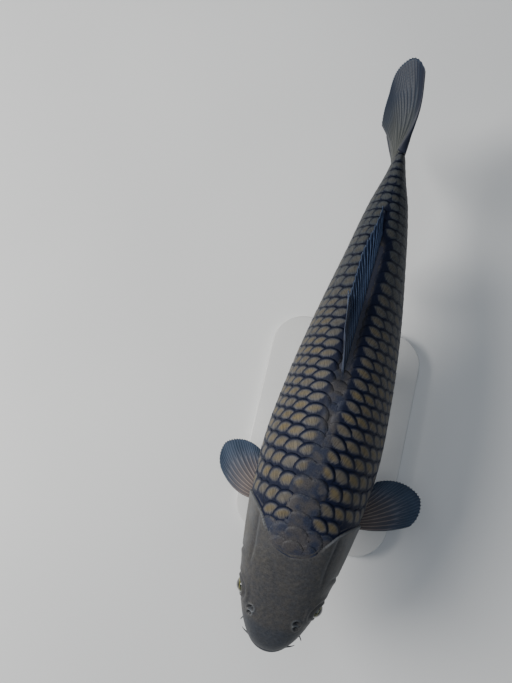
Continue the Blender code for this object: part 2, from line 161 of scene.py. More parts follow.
def show(name, builder, material, smooth_angle=None):
    """A finished bmesh as an object at the origin, smooth but for edges sharper than the angle."""
    mesh = bpy.data.meshes.new(name)
    builder.to_mesh(mesh)
    builder.free()
    mesh.shade_smooth()
    if smooth_angle:
        mesh.set_sharp_from_angle(angle=math.radians(smooth_angle))
    mesh.materials.append(material)
    piece = bpy.data.objects.new(name, mesh)
    bpy.context.scene.collection.objects.link(piece)
    return piece


def floor_finish():
    finish = Finish("floor_matt_paint", roughness=0.85)
    cloud = finish.noise(1.5, 2)
    return finish.surface(cloud.fade(0.35, 0.65).mix(FLOOR_PALE, FLOOR_SHADE))


builder = bmesh.new()
bmesh.ops.create_grid(builder, x_segments=4, y_segments=4, size=FLOOR_SIZE / 2)
show("floor", builder, floor_finish())

world = bpy.data.worlds.new("room")
world.use_nodes = True
world.node_tree.nodes["Background"].inputs["Color"].default_value = (*ROOM_LIGHT, 1)
world.node_tree.nodes["Background"].inputs["Strength"].default_value = ROOM_STRENGTH
bpy.context.scene.world = world

for name, place, aim, size, watts, colour in LAMPS:
    lamp = bpy.data.lights.new(name, "AREA")
    lamp.shape, lamp.size, lamp.energy, lamp.color = "DISK", size, watts, colour
    holder = bpy.data.objects.new(name, lamp)
    holder.location = place
    holder.rotation_euler = (Vector(aim) - Vector(place)).to_track_quat("-Z", "Y").to_euler()
    bpy.context.scene.collection.objects.link(holder)

lens = bpy.data.cameras.new("camera")
lens.lens = CAMERA_LENS
camera = bpy.data.objects.new("camera", lens)
turn = Matrix.Identity(4)
for axis, degrees in CAMERA_TURNS:
    turn = turn @ Matrix.Rotation(math.radians(degrees), 4, axis)
camera.matrix_world = Matrix.Translation(CAMERA_PLACE) @ turn
bpy.context.scene.collection.objects.link(camera)
bpy.context.scene.camera = camera


# ==== the skin
# One closed skin over head, gill covers, jaw, trunk and tail stalk. It follows the stations of the solids and
# lies a scale's depth under them on the trunk. The head's folds, lips, nostrils and eye rims are worked into
# it, and it is a matt grey with a fine dark speckle. Its creases, slits, nostrils and eye sockets carry painted
# shade, and its raised rims a painted highlight.
BODY_LENGTH = 0.512                  # from the snout to the tail's root; a place is a share of it
SNOUT_Y, AXIS_HEIGHT = -0.226, 0.150
SECTION_MIDDLE = 0.48                # where a section is widest, from its belly to its back
TAIL_ROOT = 1.02
UP = np.array([0, 0, 1.0])
# place, half width, height of the back, depth of the belly, in body lengths
BODY_STATIONS = (
    (0.000, 0.000, -0.014, -0.014), (0.012, 0.0315, 0.011, -0.036), (0.047, 0.0575, 0.034, -0.054),
    (0.110, 0.0805, 0.064, -0.077), (0.190, 0.099, 0.096, -0.097), (0.280, 0.111, 0.121, -0.116),
    (0.400, 0.117, 0.142, -0.134), (0.525, 0.108, 0.147, -0.137), (0.650, 0.092, 0.127, -0.119),
    (0.800, 0.066, 0.088, -0.082), (0.920, 0.043, 0.064, -0.060), (1.000, 0.020, 0.063, -0.061),
    (1.040, 0.011, 0.070, -0.068))
ROUNDED = tuple((math.sqrt(row[0]),) + row[1:] for row in BODY_STATIONS)    # so that the snout is round
# place, how far the midline bends to the side, in body lengths
MIDLINE = ((0.00, -0.0290), (0.15, -0.0200), (0.30, -0.0100), (0.50, 0.0035), (0.70, 0.0160),
           (0.85, 0.0230), (1.00, 0.0265), (1.20, 0.0270))
# place, how square a section is above and below, where 2 is an ellipse
SQUARENESS = ((0.00, 2.2, 2.2), (0.10, 2.5, 2.3), (0.30, 2.15, 2.3), (0.60, 2.0, 2.1), (1.04, 2.0, 2.0))
MIDLINE_STEP = 0.02                  # the midline's heading is read over this far each way
SCALE_DEPTH = 0.0011
SEAM = 0.000002                      # corners closer than this are one
SKIN_RINGS, SKIN_SIDES = 400, 236
HEAD_RINGS_SHARE, HEAD_RINGS_END = 0.74, 0.31      # this share of the rings lies ahead of this place
SKIN_PAST_TAIL_ROOT = 0.008
# the head's rear border: distance round from the ridge in metres, place in body lengths
HEAD_BORDER = ((0.000, 0.200), (0.010, 0.204), (0.020, 0.214), (0.030, 0.239), (0.041, 0.261),
               (0.058, 0.277), (0.080, 0.284), (0.105, 0.281), (0.130, 0.262), (0.155, 0.232), (0.200, 0.214))
BORDER_STEP = 0.002
EYE_RADIUS = 0.0095
EYE_PLACE = (0.111, 0.0340, 0.0085)  # in body lengths along, then metres aside and above the axis
NOSTRILS = ((0.0700, 0.0016), (0.0790, 0.0021))    # place and radius of the front and rear opening
NOSTRIL_GIRTH, NOSTRIL_FLAP = 0.0240, 0.0745
MOUTH_CORNER = 0.0236                # metres behind the snout
MOUTH_START, MOUTH_SLOPE = -0.0072, -0.417
# folds of the skin, each with its distance from a line, how far it stands out and its width, in metres
GAPE = (0.0, -0.0026, 0.0009)
LIPS = ((0.0032, 0.0010, 0.0026), (-0.0032, 0.0008, 0.0024), (0.0078, -0.0009, 0.0011),
        (-0.0072, -0.0007, 0.0011))
MOUTH_CORNER_PAD, MOUTH_CORNER_CREASE = (0.001, 0.0012, 0.0042), (0.006, -0.0011, 0.0013)
NOSTRIL_PIT, NOSTRIL_RIM, NOSTRIL_FLAP_FOLD = -0.0032, (0.0007, 0.0009), (0.0, 0.0018, 0.0014)
SOCKET_RADIUS, SOCKET_EDGE, SOCKET_DEPTH = 0.0056, 0.0024, 0.0060
EYE_RIM, EYE_CREASE, BROW = (0.0092, 0.0010, 0.0016), (0.0130, -0.0006, 0.0014), (0.0145, 0.0012, 0.004)
GILL_LIP, GILL_LIP_LENGTH = 0.0016, 0.007
GILL_SLIT, NAPE_LINE = (0.0009, -0.0030, 0.0010), (0.0, -0.0006, 0.0012)
CREST_CREASE = (0.0, -0.0009, 0.0016)
CHEEK_CREASE, CHEEK_PAD = (0.0, -0.0008, 0.0016), (-0.0040, 0.0006, 0.0030)
RIBS_HEIGHT, RIBS_CLOSE, RIBS_WAVE = 0.00010, 520, 60


def clamp(value):
    return np.clip(value, 0.0, 1.0)


def rise(value, start=0.0, width=1.0):
    """0 up to start, 1 from a width beyond it, smooth between."""
    value = clamp((value - start) / width)
    return value * value * (3 - 2 * value)


def mix(low, high, share):
    return low + (high - low) * share


def bump(distance, width):
    return np.exp(-(distance / width) ** 2)


def flow(table, place, column=1):
    """A smooth curve through one column of a table of stations, without overshoot."""
    places = np.array([row[0] for row in table])
    values = np.array([row[column] for row in table])
    steps = np.diff(values) / np.diff(places)
    before, after = steps[:-1], steps[1:]
    turns = before * after <= 0
    slopes = np.empty(len(values))
    slopes[0], slopes[-1] = steps[0], steps[-1]
    slopes[1:-1] = np.where(turns, 0, 2 * before * after / np.where(turns, 1, before + after))
    place = np.clip(place, places[0], places[-1])
    index = np.clip(np.searchsorted(places, place, side="right") - 1, 0, len(places) - 2)
    width = places[index + 1] - places[index]
    share = (place - places[index]) / width
    return (values[index] * (1 + 2 * share) * (1 - share) ** 2
            + values[index + 1] * share * share * (3 - 2 * share)
            + slopes[index] * width * share * (1 - share) ** 2
            + slopes[index + 1] * width * share * share * (share - 1))


def body_frame(place):
    """The midline's point, its heading toward the tail, and the fish's left."""
    place = np.asarray(place, float)
    low = np.maximum(place - MIDLINE_STEP, 0)
    high = np.where(place < MIDLINE_STEP, MIDLINE_STEP, place + MIDLINE_STEP)
    slope = (flow(MIDLINE, high) - flow(MIDLINE, low)) / (high - low)
    level = np.full_like(place, AXIS_HEIGHT)
    point = np.stack([flow(MIDLINE, place) * BODY_LENGTH, SNOUT_Y + place * BODY_LENGTH, level], -1)
    heading = np.stack([slope, np.ones_like(slope), np.zeros_like(slope)], -1)
    heading /= np.linalg.norm(heading, axis=-1, keepdims=True)
    left = np.stack([heading[..., 1], -heading[..., 0], np.zeros_like(slope)], -1)
    return point, heading, left


def body_point(place, angle, grow=0.0):
    """Points of the body: angle 0 is the left flank, a quarter turn is the ridge of the back."""
    place, angle = np.broadcast_arrays(np.asarray(place, float), np.asarray(angle, float))
    point, _, left = body_frame(place)
    rounded = np.sqrt(np.maximum(place, 0))
    half_width = flow(ROUNDED, rounded, 1) * BODY_LENGTH + grow
    back = flow(ROUNDED, rounded, 2) * BODY_LENGTH + grow
    belly = flow(ROUNDED, rounded, 3) * BODY_LENGTH - grow
    middle = mix(belly, back, SECTION_MIDDLE)
    rises = np.sin(angle) >= 0
    power = 2 / np.where(rises, flow(SQUARENESS, place, 1), flow(SQUARENESS, place, 2))
    reach = np.where(rises, back - middle, middle - belly)
    across = np.sign(np.cos(angle)) * np.abs(np.cos(angle)) ** power * np.maximum(half_width, 0)
    height = middle + np.sign(np.sin(angle)) * np.abs(np.sin(angle)) ** power * np.maximum(reach, 0)
    return point + left * across[..., None] + UP * height[..., None]


# How far round the body each angle lies, so that scales and paint can be set out in true distances.
GIRTH_PLACES = np.linspace(0.01, 1.02, 300) ** 2
HALF_TURN = np.linspace(math.pi / 2, -math.pi / 2, 241)
ring_points = body_point(GIRTH_PLACES[:, None], HALF_TURN[None, :])
ring_steps = np.linalg.norm(np.diff(ring_points, axis=1), axis=2)
RING_GIRTHS = np.concatenate([np.zeros((len(GIRTH_PLACES), 1)), np.cumsum(ring_steps, axis=1)], axis=1)
GIRTH_SHARES = np.linspace(0, 1, len(HALF_TURN))
GIRTH_ANGLES = np.array([np.interp(GIRTH_SHARES, row / row[-1], HALF_TURN) for row in RING_GIRTHS])


def half_girth(place):
    """Distance round one side, from the ridge of the back to the middle of the belly."""
    return np.interp(place, GIRTH_PLACES, RING_GIRTHS[:, -1])


def girth_angle(place, girth):
    """The angle at a distance round from the ridge, to the fish's left where it is positive."""
    share = clamp(np.abs(girth) / np.maximum(half_girth(place), 1e-9)) * (len(GIRTH_SHARES) - 1)
    row = np.interp(place, GIRTH_PLACES, np.arange(len(GIRTH_PLACES)))
    i, j = row.astype(int).clip(0, len(GIRTH_PLACES) - 2), share.astype(int).clip(0, len(GIRTH_SHARES) - 2)
    down, along = row - i, share - j
    angle = (GIRTH_ANGLES[i, j] * (1 - down) * (1 - along) + GIRTH_ANGLES[i + 1, j] * down * (1 - along)
             + GIRTH_ANGLES[i, j + 1] * (1 - down) * along + GIRTH_ANGLES[i + 1, j + 1] * down * along)
    return np.where(girth >= 0, angle, math.pi - angle)


def skin_point(place, girth, grow=0.0):
    """Points of the body by place and distance round from the ridge."""
    return body_point(place, girth_angle(place, girth), grow)


def behind_border(place, girth):
    """Distance behind the head's rear border, square to it; negative on the head."""
    girth = np.abs(girth)
    low, high = np.maximum(girth - BORDER_STEP, 0), girth + BORDER_STEP
    slope = (flow(HEAD_BORDER, high) - flow(HEAD_BORDER, low)) / (2 * BORDER_STEP)
    gap = (place - flow(HEAD_BORDER, girth)) * BODY_LENGTH
    return gap / np.sqrt(1 + (slope * BODY_LENGTH) ** 2)


def eye_centre(side):
    place, across, height = EYE_PLACE
    point, _, left = body_frame(place)
    return point + left * side * across + UP * height


def eye_axis(side):
    """The way an eye looks: outward, a little ahead and up."""
    heading, left = body_frame(EYE_PLACE[0])[1:]
    axis = left * side * 0.93 - heading * 0.20 + UP * 0.30
    return axis / np.linalg.norm(axis)


def fold(distance, at, height, width):
    return height * bump(distance - at, width)


def mouth_relief(along, height):
    """The gape, the lips and creases above and below it, and the pad and crease at its corner."""
    line = height - (MOUTH_START + MOUTH_SLOPE * along)
    gape = 1 - rise(along, MOUTH_CORNER - 0.004, 0.006)
    lips = 1 - rise(along, MOUTH_CORNER + 0.002, 0.006)
    behind = along - MOUTH_CORNER
    pad_behind, *pad = MOUTH_CORNER_PAD
    out = gape * fold(line, *GAPE) + lips * sum(fold(line, *lip) for lip in LIPS)
    out += fold(np.hypot(behind - pad_behind, line), 0, *pad)
    out += fold(behind, *MOUTH_CORNER_CREASE) * bump(line, 0.008)
    # Painted shade in the gape and in the crease above the upper lip, and a painted highlight along the upper
    # lip's raised fold.
    dark = gape * bump(line, 0.0011) + lips * fold(line, 0.0078, 0.5, 0.0012)
    return out, dark, lips * fold(line, 0.0030, 0.5, 0.0030)


def nostril_relief(along, aside):
    """Two round openings on either side, with raised rims and a flap of skin between them."""
    beside = aside - NOSTRIL_GIRTH
    flap = np.hypot((along - NOSTRIL_FLAP * BODY_LENGTH) * 1.5, beside * 0.6)
    # Painted shade fills each opening; the raised flap and the rear upper side of each rim carry a painted
    # highlight.
    out, dark, pale = fold(flap, *NOSTRIL_FLAP_FOLD), 0, 0.8 * bump(flap, 0.0012)
    for opening, radius in NOSTRILS:
        ahead = along - opening * BODY_LENGTH
        spot = np.hypot(ahead, beside * 0.85)
        inner = rise(ahead - 1.5 * beside, -1.5 * radius, 3 * radius)
        out = out + fold(spot, 0, NOSTRIL_PIT, radius) + fold(spot, 1.9 * radius, *NOSTRIL_RIM)
        dark = dark + 0.9 * bump(spot, radius * 1.10)
        pale = pale + 0.70 * inner * bump(spot - 1.9 * radius, 0.0006)
    return out, dark, pale


def eye_relief(points):
    """The socket under each eye, the soft rim round it, thicker above, and the crease outside the rim."""
    out = dark = pale = 0
    for side in (1, -1):
        offset, axis = points - eye_centre(side), eye_axis(side)
        forward = offset @ axis
        off_axis = np.linalg.norm(offset - forward[:, None] * axis, axis=1)
        here = (forward > 0) * 1.0
        above = rise(offset[:, 2], -0.008, 0.016)
        out = out + here * (-SOCKET_DEPTH * (1 - rise(off_axis, SOCKET_RADIUS, SOCKET_EDGE))
                            + fold(off_axis, *EYE_RIM) * (1 + 0.9 * above)
                            + fold(off_axis, *EYE_CREASE) + above * fold(off_axis, *BROW))
        # Painted shade in the socket and along the crease outside the rim, and a painted highlight along the
        # rim.
        dark = dark + here * 1.1 * (1 - rise(off_axis, 0.0062, 0.0016))
        dark = dark + here * fold(off_axis, 0.0128, 0.45, 0.0011)
        pale = pale + here * fold(off_axis, 0.0084, 0.75, 0.0007)
    return out, dark, pale


def gill_relief(place, girth):
    """The gill covers' free rear borders and fine ribs, the line across the nape, and the cheeks' creases."""
    behind, aside = behind_border(place, girth), np.abs(girth)
    gill = rise(aside, 0.024, 0.010)
    lid = behind <= 0
    out = gill * np.where(lid, GILL_LIP * np.exp(np.minimum(behind, 0) / GILL_LIP_LENGTH), 0)
    out += gill * fold(behind, *GILL_SLIT) + (1 - gill) * fold(behind, *NAPE_LINE)
    # Painted shade in the slit behind each gill cover and along the line across the nape; the pale line on the
    # cover's raised border is its pale membrane with a painted highlight on it.
    dark = gill * bump(behind - 0.0009, 0.0010) + (1 - gill) * fold(behind, 0, 0.12, 0.0012)
    pale = gill * fold(behind, -0.0007, 0.75, 0.0006)

    crest = aside - 0.0385 - 0.004 * rise(place, 0.18, 0.08)
    upper = rise(place, 0.150, 0.03) * (1 - rise(place, 0.250, 0.015))
    out += upper * fold(crest, *CREST_CREASE)
    # Painted shade in the crease along the top of the head, and a painted highlight on its side toward the
    # ridge.
    dark += upper * fold(crest, 0, 0.35, 0.0014)
    pale += upper * fold(crest, -0.0028, 0.25, 0.0012)

    cheek_line = 0.168 - 0.045 * rise(aside, 0.075, 0.05) + fold(aside, 0.06, 0.010, 0.02)
    cheek = rise(aside, 0.046, 0.01) * (1 - rise(aside, 0.118, 0.012))
    crease = (place - cheek_line) * BODY_LENGTH
    out += cheek * (fold(crease, *CHEEK_CREASE) + fold(crease, *CHEEK_PAD))
    # Painted shade in the cheek crease.
    dark += cheek * fold(crease, 0, 0.30, 0.0013)
    shield = rise(aside, 0.046, 0.012) * (1 - rise(aside, 0.125, 0.02)) * lid
    ribs = np.sin(aside * RIBS_CLOSE + RIBS_WAVE * np.maximum(0, place - 0.17) * np.sin(aside * RIBS_WAVE))
    out += RIBS_HEIGHT * shield * rise(place, 0.178, 0.02) * ribs
    return out, dark, pale


def head_relief(place, girth, points):
    """How far the head's skin stands out, how much painted shade lies in its hollows, and how much pale paint
    and painted highlight lies on its rims.
    """
    along, aside = place * BODY_LENGTH, np.abs(girth)
    parts = (mouth_relief(along, points[:, 2] - AXIS_HEIGHT), nostril_relief(along, aside),
             eye_relief(points), gill_relief(place, girth))
    out, dark, pale = (sum(layer) for layer in zip(*parts))
    return out, clamp(dark), clamp(pale)


def open_grid(columns, rows):
    """A flat grid to be shaped, and the two shares, 0 to 1, at which each of its corners lies."""
    builder = bmesh.new()
    bmesh.ops.create_grid(builder, x_segments=columns, y_segments=rows, size=0.5)
    return builder, np.array([corner.co[:2] for corner in builder.verts]) + 0.5


def shape(builder, points):
    """Every corner goes to its point, and the faces are turned outward."""
    for corner, point in zip(builder.verts, points):
        corner.co = point
    if builder.calc_volume(signed=True) < 0:
        bmesh.ops.reverse_faces(builder, faces=builder.faces)
    builder.normal_update()


def set_layers(piece, **layers):
    """One number for each corner of the mesh, by name."""
    for name, values in layers.items():
        layer = piece.data.attributes.new(name, "FLOAT", "POINT")
        layer.data.foreach_set("value", np.asarray(values, np.float32).ravel())


def set_chart(piece, name, spots):
    """A UV map from one spot for each corner of each face."""
    chart = piece.data.uv_layers.new(name=name)
    chart.data.foreach_set("uv", np.asarray(spots, np.float32).ravel())


def face_corners(piece):
    """Which corner of the mesh each corner of each face is."""
    corners = np.empty(len(piece.data.loops), np.int32)
    piece.data.loops.foreach_get("vertex_index", corners)
    return corners


def close_seams(piece):
    builder = bmesh.new()
    builder.from_mesh(piece.data)
    bmesh.ops.remove_doubles(builder, verts=builder.verts, dist=SEAM)
    builder.to_mesh(piece.data)
    builder.free()


def skin_finish():
    finish = Finish("fish_skin", roughness=0.45, specular_ior_level=0.28)
    dark, pale, bare, crest, face, flank = finish.layers("dark", "pale", "bare", "crest", "face", "flank")
    cloud, mottle, grain = finish.noise(45, 3), finish.noise(210, 3), finish.noise(700, 2, rough=0.6)
    speck = finish.noise(420, 1).fade(0.60, 0.70)
    head = (mottle * 0.7 + cloud * 0.3).fade(0.38, 0.62)
    head = head.mix((0.044, 0.044, 0.047), (0.056, 0.053, 0.051))
    head = (finish.noise(26, 2).fade(0.52, 0.70) * 0.18).mix(head, (0.070, 0.062, 0.042))
    head = (face * 0.55).mix(head, (0.028, 0.034, 0.046))
    plates = finish.noise(38, 3).fade(0.38, 0.62)
    plates = plates.mix((0.098, 0.090, 0.074), (0.132, 0.136, 0.140))
    head = (flank * 0.8).mix(head, plates)
    head = head.tint(0.20 + grain * 0.90 + finish.noise(330, 2) * 0.70)
    head = (speck * 0.30).mix(head, (0.020, 0.022, 0.030))
    under = cloud.mix((0.008, 0.010, 0.026), (0.014, 0.018, 0.036))
    dull = speck.mix((0.052, 0.050, 0.052), (0.016, 0.018, 0.030))
    under = crest.mix(under, dull)
    colour = bare.mix(under, head)
    # Painted highlight and pale rims on the head's raised edges, then painted shade in its creases, slits,
    # nostrils and sockets.
    colour = (pale * 0.7).mix(colour, (0.140, 0.152, 0.165))
    colour = (dark * 0.85).mix(colour, (0.008, 0.010, 0.018))
    height = grain * 0.5 + cloud * 0.6 + speck * -0.2
    return finish.surface(colour, 0.36 + grain * 0.18, height, 0.0003)


builder, grid = open_grid(SKIN_RINGS, SKIN_SIDES)
along_skin = grid[:, 0]
head_share = along_skin / HEAD_RINGS_SHARE
trunk_share = (along_skin - HEAD_RINGS_SHARE) / (1 - HEAD_RINGS_SHARE)
place = np.where(head_share < 1, HEAD_RINGS_END * head_share ** 1.5,
                 mix(HEAD_RINGS_END, TAIL_ROOT + SKIN_PAST_TAIL_ROOT, trunk_share))
girth = (grid[:, 1] * 2 - 1) * half_girth(place)
bare = 1 - rise(behind_border(place, girth), 0, 0.006)
points = skin_point(place, girth, -SCALE_DEPTH * (1 - bare))
shape(builder, points)
relief, dark, pale = head_relief(place, girth, points)
points = points + np.array([corner.normal for corner in builder.verts]) * relief[:, None]
last = along_skin > 1 - 0.5 / SKIN_RINGS
points[last] = points[last].mean(axis=0)
shape(builder, points)

skin = show("koi_skin", builder, skin_finish())
aside = np.abs(girth)
share_round = aside / half_girth(place)
jowl = 0.4 * rise(aside, 0.040, 0.02) * rise(place, 0.17, 0.03) * (share_round < 0.7)
set_layers(skin, dark=dark, pale=pale, bare=bare,
           crest=bump(girth, 0.008) * (1 - 0.7 * rise(place, 0.50, 0.04)),
           face=1 - rise(place, 0.045 + 0.25 * aside, 0.018),
           flank=rise(share_round, 0.52, 0.35) + jowl)
set_chart(skin, "OFBake", np.clip(grid, 0.001, 0.999)[face_corners(skin)])
close_seams(skin)
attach(skin, "root")
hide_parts("head", "gill_cover_left", "gill_cover_right", "lower_jaw", "trunk", "tail_stalk")


# ==== the scales
# Thin horny plates in rows, each rooted in the skin and lapping over the next like roof tiles. Every plate
# is a closed solid of its own, with a bronze-grey patch, and between the patches runs a dark blue net. The dark
# rim round each plate and the dark margin beside the plate lapping over it are partly the net's own dark and
# partly painted shade under the free edges.
FIRST_ROW = ((0.20, 0.0000), (0.26, 0.0010), (0.30, 0.0042), (0.35, 0.0062), (0.385, 0.0075), (0.41, 0.0105),
             (0.45, 0.0145), (0.50, 0.0170), (0.55, 0.0180), (0.75, 0.0180), (0.86, 0.0160), (0.92, 0.0110),
             (1.00, 0.0080), (1.04, 0.0075))       # the first side row's distance from the ridge
ROW_PITCH = ((0.20, 0.0130), (0.26, 0.0138), (0.31, 0.0136), (0.35, 0.0150), (0.385, 0.0162), (0.45, 0.0150),
             (0.50, 0.0146), (0.70, 0.0143), (0.78, 0.0130), (0.86, 0.0108), (0.92, 0.0092), (1.00, 0.0078),
             (1.04, 0.0075))                       # between rows, round the body
SCALE_PITCH = ((0.19, 0.0255), (0.26, 0.0270), (0.32, 0.0325), (0.36, 0.0300), (0.40, 0.0265), (0.44, 0.0237),
               (0.50, 0.0212), (0.58, 0.0207), (0.66, 0.0212), (0.71, 0.0248), (0.78, 0.0245), (0.84, 0.0215),
               (0.90, 0.0190), (1.00, 0.0170), (1.04, 0.0165))   # between scales in a row, in body lengths
ALIGNED_AT = 0.4305                  # where the rows on the back stand abreast
LAST_SCALE = 1.012
ROWS, SCALES_IN_ROW = 16, 42         # more than fit: rows end at the belly, and scales at the tail fin
MIDDLE_ROW_FROM = 0.820              # behind this place one more row lies between the first ones
CREST_ROW, CREST_SCALE = (0.290, 0.535), 0.0110    # where small scales cover the ridge, and half their width
BELLY_FROM, BELLY_SCALE = 0.300, 0.0095            # the same for the row under the belly
CREST_WIDTH = (0.0090, 0.0070)       # the dull band along the ridge, ahead of the dorsal fin and beside it
NAPE_PLATE, NAPE_WIDTH = 0.236, 0.034   # ahead of this place and this near the ridge, scales hardly show
SLANT_FADE = (0.060, 0.110)          # the rows' slant dies out between these distances from the ridge
PLATE_CUTS = (6, 6)
REAR_FROM, REAR_DARKER = 0.45, 0.27  # from this place on the scales grow duller and bluer toward the tail
COAT_CUTS, COAT_SIDE = (0.45, 0.68), 0.072         # the coat's pieces end at these places, and this far round
LAP_SEEN, LAP_REACH = 0.010, 0.030   # a lap shows up to this far, and plates this far off are looked at
PLATE_LENGTH, PLATE_WIDTH = 1.06, 0.97   # half sizes, in scale pitches and in row pitches
PLATE_THICKNESS = 0.00034
PLATE_DROP = 0.00056                 # how much lower a plate lies one pitch ahead of its free edge
PLATE_CROWN = 0.00028
FAINT_SINKS, CREST_SINKS = 0.00035, 0.00028        # faint scales lie deeper, and crest scales deeper still
SLOPE_STEP = 0.0005                  # over so small a step the body's slope is read
chance = np.random.default_rng(7)

pitch_places = np.linspace(SCALE_PITCH[0][0], SCALE_PITCH[-1][0], 700)
pitch_counts = np.concatenate([[0], np.cumsum(np.diff(pitch_places) / flow(SCALE_PITCH, pitch_places[1:]))])


def scale_count(place):
    return np.interp(place, pitch_places, pitch_counts)


def count_place(count):
    return np.interp(count, pitch_counts, pitch_places)


def row_slant(girth):
    """How strongly the rows of scales slant: fully on the back, not at all low on the flanks."""
    return 1 - rise(np.abs(girth), SLANT_FADE[0], SLANT_FADE[1] - SLANT_FADE[0])


def lay_rows():
    """Every scale as place, girth, side, half length, half width, slant and how faint it is."""
    laid = []
    for side in (1, -1):
        phase = scale_count(ALIGNED_AT) % 1
        for row in range(-1, ROWS):
            if row > 0:
                phase += 0.5 - 0.5 * float(row_slant(0.0097 + 0.0146 * row))
            for number in range(SCALES_IN_ROW):
                count = number + phase % 1
                place = float(count_place(count))
                pitch = float(flow(SCALE_PITCH, place)) * BODY_LENGTH
                width = float(flow(ROW_PITCH, place))
                girth = float(flow(FIRST_ROW, place)) + width * (row if row >= 0 else -0.80)
                if row < 0 and place < MIDDLE_ROW_FROM:
                    continue
                if girth > half_girth(place) - 0.25 * width or count > scale_count(LAST_SCALE):
                    continue
                if behind_border(np.array(place), np.array(girth)) < -0.1 * pitch:
                    continue
                faint = 0.92 * float(1 - rise(girth, 0.003, 0.004)) if row == 0 else 0.0
                if girth < NAPE_WIDTH:
                    faint = max(faint, float(1 - rise(place, NAPE_PLATE, 0.020)))
                tilt = math.atan(0.5 * float(row_slant(girth)) * pitch / width) * min(1.0, girth / 0.008)
                laid.append((place, girth, side, PLATE_LENGTH * pitch, PLATE_WIDTH * width, tilt, faint))
    for number in range(SCALES_IN_ROW):
        place = float(count_place(number + (scale_count(ALIGNED_AT) + 0.45) % 1))
        pitch = float(flow(SCALE_PITCH, place)) * BODY_LENGTH
        if CREST_ROW[0] < place < CREST_ROW[1]:
            laid.append((place, 0.0, 1, pitch, CREST_SCALE, 0.0, 1.0))
        if BELLY_FROM < place < LAST_SCALE:
            laid.append((place, float(half_girth(place)), 1, PLATE_LENGTH * pitch, BELLY_SCALE, 0.0, 0.0))
    return laid


def crest_band(place, girth):
    """1 on the ridge, 0 beyond the dull band that runs along it and ends at the dorsal fin's last ray."""
    width = mix(*CREST_WIDTH, rise(place, 0.50, 0.05))
    return bump(girth, width) * (1 - rise(place, 0.80, 0.05))


def plate_template():
    """One plate: a closed sheet, rounded from a square to a disc; x is across, y runs to the free edge."""
    builder = bmesh.new()
    bmesh.ops.create_grid(builder, x_segments=PLATE_CUTS[0], y_segments=PLATE_CUTS[1], size=1.0)
    bmesh.ops.solidify(builder, geom=builder.faces, thickness=1.0)
    top = max(corner.co.z for corner in builder.verts)
    for corner in builder.verts:
        x, y = corner.co.x, corner.co.y
        under = top - corner.co.z
        corner.co = (x * math.sqrt(1 - y * y / 2), y * math.sqrt(1 - x * x / 2), -under)
    mesh = bpy.data.meshes.new("plate")
    builder.to_mesh(mesh)
    builder.free()
    return mesh


def place_plates(laid, template):
    """Corner points of the plates on the body, each corner's spot on its plate, and its place and girth."""
    spots = np.empty(len(template.vertices) * 3)
    template.vertices.foreach_get("co", spots)
    spots = spots.reshape(-1, 3)
    x, y, under = spots[None, :, 0], spots[None, :, 1], -spots[None, :, 2]
    place, girth, side, length, width, tilt, faint = (column[:, None] for column in np.array(laid).T)
    wobble = chance.normal(0, 1, (len(laid), 4))[:, :, None]
    length = length * (1 + 0.02 * wobble[:, 0])
    tilt = tilt + 0.03 * wobble[:, 1]
    along = y * length * np.cos(tilt) - x * width * np.sin(tilt)
    outward = y * length * np.sin(tilt) + x * width * np.cos(tilt)
    where = np.clip(place + along / BODY_LENGTH, 0.001, TAIL_ROOT + 0.02)
    round_body = side * (girth + outward)
    limit = half_girth(where)
    over = np.abs(round_body) > limit
    round_body = np.where(over, np.sign(round_body) * (np.abs(round_body) - 2 * limit), round_body)
    edge = np.hypot(x, y)
    lift = (-PLATE_DROP * PLATE_LENGTH * (1 - y) - PLATE_CROWN * x * x + 0.00004 * wobble[:, 2]
            - 0.00012 * rise(edge, 0.8, 0.2) + 0.00008)
    faint = np.maximum(faint, 0.8 * crest_band(where, round_body))
    lift = lift * mix(1.0, 0.16, faint) - FAINT_SINKS * faint - CREST_SINKS * (girth == 0)
    lift = lift - under * PLATE_THICKNESS * (1 - 0.55 * rise(edge, 0.7, 0.3))
    base = skin_point(where, round_body)
    ahead = skin_point(where + SLOPE_STEP, round_body) - base
    across = skin_point(where, round_body + SLOPE_STEP) - base
    normal = np.cross(across, ahead)
    normal /= np.linalg.norm(normal, axis=-1, keepdims=True)
    return base + normal * lift[..., None], x + 0 * place, y + 0 * place, where, round_body


def lapped(members, everyone, where, round_body):
    """How far each corner of each plate lies clear of the plates ahead, which lap over it, in metres."""
    ahead = np.array(everyone)
    clear = np.full(where.shape, LAP_SEEN)
    for index, (place, girth, side) in enumerate(np.array(members)[:, :3]):
        gap = (place - ahead[:, 0]) * BODY_LENGTH
        beside = np.abs(side * girth - ahead[:, 2] * ahead[:, 1])
        near = ahead[(gap > 0.0005) & (gap < LAP_REACH) & (beside < LAP_REACH)]
        if not len(near):
            continue
        other_place, other_girth, other_side, length, width, tilt = near.T[:6, :, None]
        along = (where[index] - other_place) * BODY_LENGTH
        outward = other_side * round_body[index] - other_girth
        y = (along * np.cos(tilt) + outward * np.sin(tilt)) / length
        x = (outward * np.cos(tilt) - along * np.sin(tilt)) / width
        far = (np.hypot(x, y) - 1) * np.minimum(length, width)
        clear[index] = np.minimum(clear[index], far.min(axis=0))
    return clear


